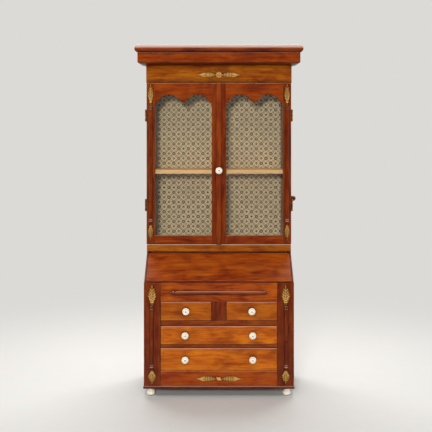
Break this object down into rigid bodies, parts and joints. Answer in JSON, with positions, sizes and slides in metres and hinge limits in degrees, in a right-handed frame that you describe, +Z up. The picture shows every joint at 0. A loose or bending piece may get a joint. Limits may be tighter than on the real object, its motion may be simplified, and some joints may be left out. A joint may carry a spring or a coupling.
{
  "type": "thimble display case",
  "caption": "Miniature slant-front bureau bookcase for showing thimbles: glazed arched doors over a fall front and drawers, with bone knobs and feet and gilt carved leaves.",
  "frame": {"origin": "centre of the bounding box in x and y, on the floor under the feet", "axes": "+Z up, the front with doors and drawers faces -Y, +X to the right seen from the front"},
  "size_m": [0.196, 0.0917, 0.3985],
  "materials": {
    "mahogany": "polished red-brown mahogany, worn at the edges",
    "dark_mahogany": "dark polished mahogany",
    "orange_mahogany": "polished orange-brown mahogany with a lively grain",
    "golden_mahogany": "polished golden-brown mahogany",
    "raw_wood": "pale unfinished wood",
    "gilt_carving": "carved wood with rubbed gilding",
    "bone": "turned and polished bone",
    "brass": "aged brass",
    "lining_paper": "matt printed paper with a small geometric pattern",
    "glass": "clear sheet glass"
  },
  "bodies": {
    "case": {"desk_sides": "dark_mahogany", "desk_back": "mahogany", "desk_bottom": "mahogany", "base_moulding": "mahogany", "feet": "bone", "corner_posts": "dark_mahogany", "bottom_rail": "mahogany", "drawer_rails": "mahogany", "dustboards": "mahogany", "drawer_guides": "mahogany", "centre_divider": "dark_mahogany", "top_rail": "orange_mahogany", "split_spindle": "mahogany", "desk_floor": "mahogany", "lid_stop": "mahogany", "lid_pins": "brass", "waist_board": "golden_mahogany", "post_columns": "dark_mahogany", "post_leaves": "gilt_carving", "rosette_ornaments": "gilt_carving", "bookcase_sides": "mahogany", "bookcase_boards": "mahogany", "bookcase_back": "mahogany", "lining_paper": "lining_paper", "shelf": "raw_wood", "shelf_cleats": "mahogany", "frieze_board": "golden_mahogany", "cornice_band": "mahogany", "cornice_cap": "mahogany", "side_peg": "dark_mahogany", "case_hinge_leaves": "brass"},
    "left_door": {"left_door_stiles": "mahogany", "left_door_rails": "mahogany", "left_door_glass": "glass", "left_door_column": "dark_mahogany", "left_door_leaves": "gilt_carving", "left_door_hinges": "brass"},
    "right_door": {"right_door_stiles": "mahogany", "right_door_rails": "mahogany", "right_door_glass": "glass", "right_door_column": "dark_mahogany", "right_door_leaves": "gilt_carving", "right_door_hinges": "brass", "astragal": "mahogany", "door_knob": "bone"},
    "fall_front": {"lid": "orange_mahogany"},
    "small_left_drawer": {"small_left_front": "orange_mahogany", "small_left_box": "raw_wood", "small_left_knob": "bone"},
    "small_right_drawer": {"small_right_front": "orange_mahogany", "small_right_box": "raw_wood", "small_right_knob": "bone"},
    "upper_drawer": {"upper_drawer_front": "orange_mahogany", "upper_drawer_box": "raw_wood", "upper_drawer_knobs": "bone"},
    "lower_drawer": {"lower_drawer_front": "orange_mahogany", "lower_drawer_box": "raw_wood", "lower_drawer_knobs": "bone"}
  },
  "joints": [
    {"name": "left_door_hinge", "type": "hinge", "parent": "case", "child": "left_door", "pos_m": [-0.0856, 0.0025, 0.26], "axis": [0, 0, -1], "range_deg": [0, 105]},
    {"name": "right_door_hinge", "type": "hinge", "parent": "case", "child": "right_door", "pos_m": [0.0856, 0.0025, 0.26], "axis": [0, 0, 1], "range_deg": [0, 105]},
    {"name": "fall_front_pins", "type": "hinge", "parent": "case", "child": "fall_front", "pos_m": [0, -0.03815, 0.1302], "axis": [1, 0, 0], "range_deg": [0, 146.5]},
    {"name": "small_left_slide", "type": "slide", "parent": "case", "child": "small_left_drawer", "axis": [0, -1, 0], "range_m": [0, 0.06]},
    {"name": "small_right_slide", "type": "slide", "parent": "case", "child": "small_right_drawer", "axis": [0, -1, 0], "range_m": [0, 0.06]},
    {"name": "upper_drawer_slide", "type": "slide", "parent": "case", "child": "upper_drawer", "axis": [0, -1, 0], "range_m": [0, 0.06]},
    {"name": "lower_drawer_slide", "type": "slide", "parent": "case", "child": "lower_drawer", "axis": [0, -1, 0], "range_m": [0, 0.06]}
  ]
}
